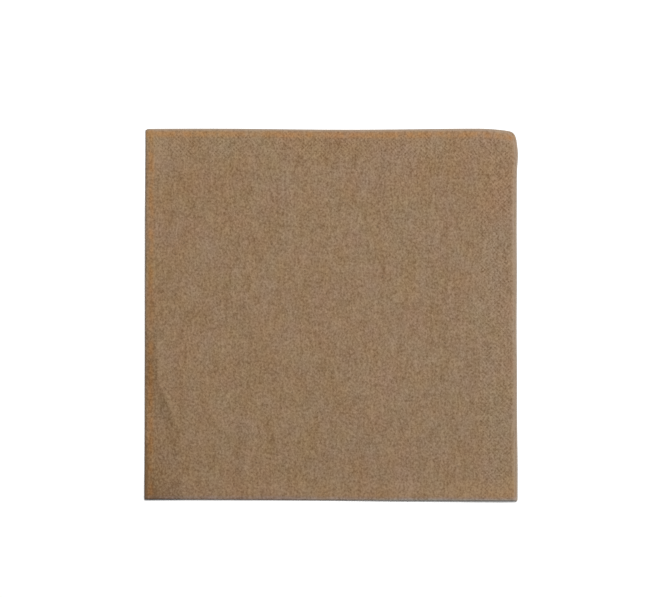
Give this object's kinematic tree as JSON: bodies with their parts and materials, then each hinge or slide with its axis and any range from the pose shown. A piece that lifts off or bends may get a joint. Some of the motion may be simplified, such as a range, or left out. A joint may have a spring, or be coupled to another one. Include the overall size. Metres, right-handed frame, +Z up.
{
  "type": "paper napkin",
  "caption": "Brown paper napkin folded flat into a square, with closed folds along two sides and loose, coined cut edges along the other two.",
  "frame": {"origin": "under the middle of the folded square, on the surface that the napkin lies on", "axes": "+Z up through the leaves, +X from the second fold towards the cut edges, +Y from the first fold towards the cut edges, so that the open corner is at +X +Y"},
  "size_m": [0.1656, 0.165, 0.0024],
  "materials": {
    "brown_tissue": "matte"
  },
  "bodies": {
    "root": {"napkin": "brown_tissue"}
  },
  "joints": []
}
